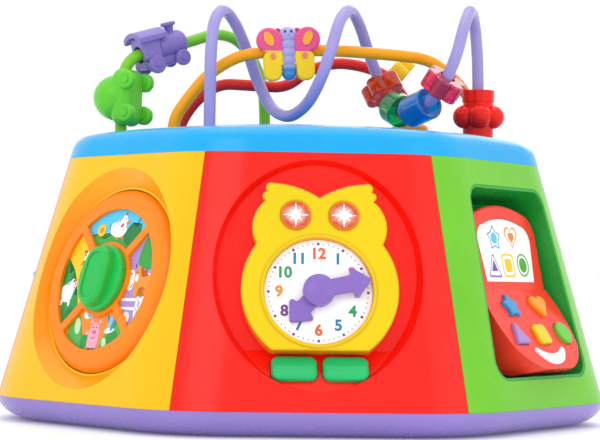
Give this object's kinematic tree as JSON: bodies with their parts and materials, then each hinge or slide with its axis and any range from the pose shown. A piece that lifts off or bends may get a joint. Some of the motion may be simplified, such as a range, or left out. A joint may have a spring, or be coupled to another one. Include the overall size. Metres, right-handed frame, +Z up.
{
  "type": "baby activity centre",
  "caption": "Free-standing toddler's activity centre: tapered many-sided body with a clock, telephone, dials and keys on its sides and a bead maze on top.",
  "frame": {"origin": "centre of the base tray's flat underside, on the body's axis", "axes": "+Z up, from the base to the bead maze; -Y out of the clock side"},
  "size_m": [0.4086, 0.4024, 0.2854],
  "materials": {
    "black_plastic": "matte moulded plastic",
    "blue_plastic": "glossy moulded plastic",
    "button_green": "glossy moulded plastic",
    "cell_jacket": "printed foil jacket",
    "circuit_board": "solder-masked circuit board",
    "clear_blue": "clear tinted plastic",
    "clear_green": "clear tinted plastic",
    "clear_magenta": "clear tinted plastic",
    "clear_orange": "clear tinted plastic",
    "dark_green_plastic": "glossy moulded plastic",
    "dial_white": "printed card under clear lacquer",
    "hand_purple": "satin moulded plastic",
    "key_blue": "soft moulded plastic",
    "key_green": "soft moulded plastic",
    "key_lavender": "soft moulded plastic",
    "key_orange": "soft moulded plastic",
    "key_yellow": "soft moulded plastic",
    "lens_red": "clear tinted plastic",
    "light_green_plastic": "glossy moulded plastic",
    "orange_plastic": "glossy moulded plastic",
    "phone_red": "glossy moulded plastic",
    "picture_card": "printed card",
    "purple_plastic": "glossy moulded plastic",
    "red_plastic": "glossy moulded plastic",
    "screw_steel": "zinc-plated steel",
    "speaker_paper": "paper cone in a steel basket",
    "spring_steel": "nickel-plated spring steel",
    "tube_green": "coated tube",
    "tube_lavender": "coated tube",
    "tube_orange": "coated tube",
    "tube_red": "coated tube",
    "white_plastic": "glossy moulded plastic",
    "wing_pink": "glossy moulded plastic",
    "yellow_plastic": "glossy moulded plastic"
  },
  "bodies": {
    "housing": {"base_tray": "purple_plastic", "batteries": "cell_jacket", "battery_contacts": "spring_steel", "battery_door": "purple_plastic", "button_board": "circuit_board", "clock_axle": "hand_purple", "clock_dial": "dial_white", "eye_lenses": "lens_red", "main_board": "circuit_board", "niche_liner": "dark_green_plastic", "owl_body": "yellow_plastic", "owl_lights": "circuit_board", "panel_clock": "red_plastic", "panel_gears": "red_plastic", "panel_keyboard": "yellow_plastic", "panel_phone": "light_green_plastic", "panel_picture": "yellow_plastic", "panel_roller": "orange_plastic", "panel_steering": "light_green_plastic", "phone_body": "phone_red", "phone_screen": "white_plastic", "phone_smile": "white_plastic", "screws": "screw_steel", "speaker": "speaker_paper", "top_cover": "blue_plastic", "tube_green": "tube_green", "tube_lavender": "tube_lavender", "tube_orange": "tube_orange", "tube_red": "tube_red", "wheel_frame": "orange_plastic", "wheel_pictures": "picture_card"},
    "hour_hand": {"hour_hand": "hand_purple"},
    "minute_hand": {"minute_hand": "hand_purple"},
    "owl_button_left": {"owl_button_left": "button_green"},
    "owl_button_right": {"owl_button_right": "button_green"},
    "wheel_knob": {"wheel_knob": "dark_green_plastic"},
    "phone_key_star": {"phone_key_star": "key_blue"},
    "phone_key_heart": {"phone_key_heart": "key_orange"},
    "phone_key_triangle": {"phone_key_triangle": "key_lavender"},
    "phone_key_square": {"phone_key_square": "key_yellow"},
    "phone_key_circle": {"phone_key_circle": "key_green"},
    "piano_key_left": {"piano_key_left": "key_blue"},
    "piano_key_middle": {"piano_key_middle": "white_plastic"},
    "piano_key_right": {"piano_key_right": "key_orange"},
    "gear_large": {"gear_large": "yellow_plastic"},
    "gear_small": {"gear_small": "blue_plastic"},
    "steering_wheel": {"steering_wheel": "purple_plastic"},
    "roller": {"roller": "blue_plastic"},
    "power_switch": {"power_switch": "black_plastic"},
    "bead_car": {"bead_car": "key_green"},
    "bead_train": {"bead_train": "key_lavender"},
    "butterfly": {"butterfly_body": "key_lavender", "butterfly_wings": "wing_pink"},
    "bead_orange_clear": {"bead_orange_clear": "clear_orange"},
    "bead_green_clear": {"bead_green_clear": "clear_green"},
    "bead_blue_clear": {"bead_blue_clear": "clear_blue"},
    "bead_magenta_clear": {"bead_magenta_clear": "clear_magenta"},
    "bead_red_flower": {"bead_red_flower": "red_plastic"},
    "bead_yellow_flower": {"bead_yellow_flower": "yellow_plastic"},
    "bead_orange_low": {"bead_orange_low": "key_orange"}
  },
  "joints": [
    {"name": "hour_hand_turn", "type": "hinge", "parent": "housing", "child": "hour_hand", "pos_m": [-0.0009, -0.1755, 0.08815], "axis": [0, -0.9654, 0.2609], "continuous": true},
    {"name": "minute_hand_turn", "type": "hinge", "parent": "housing", "child": "minute_hand", "pos_m": [-0.0009, -0.1755, 0.08815], "axis": [0, -0.9654, 0.2609], "continuous": true},
    {"name": "owl_button_left_slide", "type": "slide", "parent": "housing", "child": "owl_button_left", "axis": [0, 0.7752, -0.6318], "range_m": [0, 0.003], "stiffness_N_per_m": 300, "springref_m": -0.001},
    {"name": "owl_button_right_slide", "type": "slide", "parent": "housing", "child": "owl_button_right", "axis": [0, 0.7752, -0.6318], "range_m": [0, 0.003], "stiffness_N_per_m": 300, "springref_m": -0.001},
    {"name": "wheel_knob_turn", "type": "hinge", "parent": "housing", "child": "wheel_knob", "pos_m": [-0.13576, -0.10827, 0.095], "axis": [-0.7548, -0.6019, 0.2609], "continuous": true},
    {"name": "phone_key_star_slide", "type": "slide", "parent": "housing", "child": "phone_key_star", "axis": [-0.6408, 0.511, -0.5729], "range_m": [0, 0.0015], "stiffness_N_per_m": 300, "springref_m": -0.001},
    {"name": "phone_key_heart_slide", "type": "slide", "parent": "housing", "child": "phone_key_heart", "axis": [-0.6408, 0.511, -0.5729], "range_m": [0, 0.0015], "stiffness_N_per_m": 300, "springref_m": -0.001},
    {"name": "phone_key_triangle_slide", "type": "slide", "parent": "housing", "child": "phone_key_triangle", "axis": [-0.6408, 0.511, -0.5729], "range_m": [0, 0.0015], "stiffness_N_per_m": 300, "springref_m": -0.001},
    {"name": "phone_key_square_slide", "type": "slide", "parent": "housing", "child": "phone_key_square", "axis": [-0.6408, 0.511, -0.5729], "range_m": [0, 0.0015], "stiffness_N_per_m": 300, "springref_m": -0.001},
    {"name": "phone_key_circle_slide", "type": "slide", "parent": "housing", "child": "phone_key_circle", "axis": [-0.6408, 0.511, -0.5729], "range_m": [0, 0.0015], "stiffness_N_per_m": 300, "springref_m": -0.001},
    {"name": "piano_key_left_turn", "type": "hinge", "parent": "housing", "child": "piano_key_left", "pos_m": [0.15704, 0.03584, 0.11853], "axis": [-0.2225, 0.9749, 0], "range_deg": [0, 4], "stiffness_Nm_per_rad": 0.8, "springref_deg": -2.86},
    {"name": "piano_key_middle_turn", "type": "hinge", "parent": "housing", "child": "piano_key_middle", "pos_m": [0.15704, 0.03584, 0.11853], "axis": [-0.2225, 0.9749, 0], "range_deg": [0, 4], "stiffness_Nm_per_rad": 0.8, "springref_deg": -2.86},
    {"name": "piano_key_right_turn", "type": "hinge", "parent": "housing", "child": "piano_key_right", "pos_m": [0.15704, 0.03584, 0.11853], "axis": [-0.2225, 0.9749, 0], "range_deg": [0, 4], "stiffness_Nm_per_rad": 0.8, "springref_deg": -2.86},
    {"name": "gear_large_turn", "type": "hinge", "parent": "housing", "child": "gear_large", "pos_m": [0.09179, 0.15143, 0.08535], "axis": [0.4189, 0.8698, 0.2609], "continuous": true},
    {"name": "gear_small_turn", "type": "hinge", "parent": "housing", "child": "gear_small", "pos_m": [0.04763, 0.16356, 0.1158], "axis": [0.4189, 0.8698, 0.2609], "continuous": true},
    {"name": "steering_wheel_turn", "type": "hinge", "parent": "housing", "child": "steering_wheel", "pos_m": [-0.07534, 0.15645, 0.095], "axis": [-0.4189, 0.8698, 0.2609], "continuous": true},
    {"name": "roller_turn", "type": "hinge", "parent": "housing", "child": "roller", "pos_m": [-0.15706, 0.03585, 0.09161], "axis": [-0.2225, -0.9749, 0], "continuous": true},
    {"name": "power_switch_slide", "type": "slide", "parent": "housing", "child": "power_switch", "axis": [1, 0, 0], "range_m": [0, 0.006]},
    {"name": "bead_car_turn", "type": "hinge", "parent": "housing", "child": "bead_car", "pos_m": [-0.12581, -0.00581, 0.2183], "axis": [0.0181, 0.0181, 0.9997], "continuous": true},
    {"name": "bead_train_turn", "type": "hinge", "parent": "housing", "child": "bead_train", "pos_m": [-0.09962, 0.00952, 0.25381], "axis": [0.8228, 0.4893, 0.2891], "range_deg": [-90, 90]},
    {"name": "butterfly_turn", "type": "hinge", "parent": "housing", "child": "butterfly", "pos_m": [-0.013, -0.025, 0.25111], "axis": [0.9986, 0, 0.0523], "continuous": true},
    {"name": "bead_orange_clear_turn", "type": "hinge", "parent": "housing", "child": "bead_orange_clear", "pos_m": [0.05619, 0.00478, 0.22831], "axis": [0.3596, -0.4298, -0.8282], "continuous": true},
    {"name": "bead_green_clear_turn", "type": "hinge", "parent": "housing", "child": "bead_green_clear", "pos_m": [0.06429, -0.01119, 0.21374], "axis": [0.387, -0.8554, -0.3442], "continuous": true},
    {"name": "bead_blue_clear_turn", "type": "hinge", "parent": "housing", "child": "bead_blue_clear", "pos_m": [0.07677, -0.03508, 0.21308], "axis": [0.5094, -0.8247, 0.2457], "continuous": true},
    {"name": "bead_magenta_clear_turn", "type": "hinge", "parent": "housing", "child": "bead_magenta_clear", "pos_m": [0.09002, -0.05171, 0.22743], "axis": [0.4509, -0.4379, 0.7778], "continuous": true},
    {"name": "bead_red_flower_turn", "type": "hinge", "parent": "housing", "child": "bead_red_flower", "pos_m": [0.122, 0, 0.21416], "axis": [0.0033, 0, -1], "continuous": true},
    {"name": "bead_yellow_flower_turn", "type": "hinge", "parent": "housing", "child": "bead_yellow_flower", "pos_m": [0.06514, 0.041, 0.23906], "axis": [0.7557, 0, -0.6549], "continuous": true},
    {"name": "bead_orange_low_turn", "type": "hinge", "parent": "housing", "child": "bead_orange_low", "pos_m": [0.07882, 0.041, 0.20262], "axis": [0.0569, 0, -0.9984], "continuous": true}
  ],
  "couplings": [
    {"joint": "gear_small_turn", "follows": "gear_large_turn", "ratio": -1.75}
  ]
}
